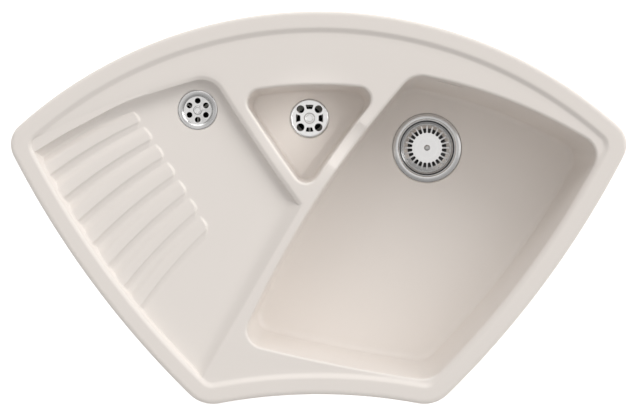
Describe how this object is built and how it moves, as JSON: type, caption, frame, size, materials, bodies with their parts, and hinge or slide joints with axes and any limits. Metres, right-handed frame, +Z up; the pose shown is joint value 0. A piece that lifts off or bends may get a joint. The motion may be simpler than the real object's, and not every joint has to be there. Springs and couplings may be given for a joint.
{
  "type": "kitchen sink",
  "caption": "Glazed ceramic corner sink with a main bowl, a small bowl and a ribbed drainer, a lift-out basket strainer, sieve wastes and an overflow connector.",
  "frame": {"origin": "centre of the tap hole, at the level of the worktop", "axes": "+Z up, +Y towards the room's corner behind the tap, +X along the worktop towards the main bowl"},
  "size_m": [0.9836, 0.627, 0.2917],
  "materials": {
    "white_glaze": "glossy warm white glaze",
    "polished_steel": "polished stainless steel",
    "plain_steel": "plain stainless steel",
    "black_rubber": "matt",
    "white_plastic": "moulded, satin",
    "brass": "turned"
  },
  "bodies": {
    "root": {"sink_body": "white_glaze", "basket_flange_cup": "polished_steel", "basket_flange_seal": "black_rubber", "basket_body_gasket": "black_rubber", "basket_waste_body": "white_plastic", "basket_insert_nut": "brass", "basket_clamp_screw": "plain_steel", "small_sieve": "polished_steel", "small_sieve_seal": "black_rubber", "small_body_gasket": "black_rubber", "small_waste_body": "white_plastic", "small_insert_nut": "brass", "small_screw": "polished_steel", "drainer_sieve": "polished_steel", "drainer_sieve_seal": "black_rubber", "drainer_body_gasket": "black_rubber", "drainer_waste_body": "white_plastic", "drainer_insert_nut": "brass", "drainer_screw": "polished_steel", "overflow_grommet": "black_rubber", "overflow_connector": "white_plastic"},
    "basket": {"basket_strainer": "polished_steel", "basket_seal_ring": "black_rubber", "basket_stem": "plain_steel", "basket_pin": "polished_steel"}
  },
  "joints": [
    {"name": "basket_lift", "type": "slide", "parent": "root", "child": "basket", "axis": [0, 0, 1], "range_m": [0, 0.24]}
  ]
}
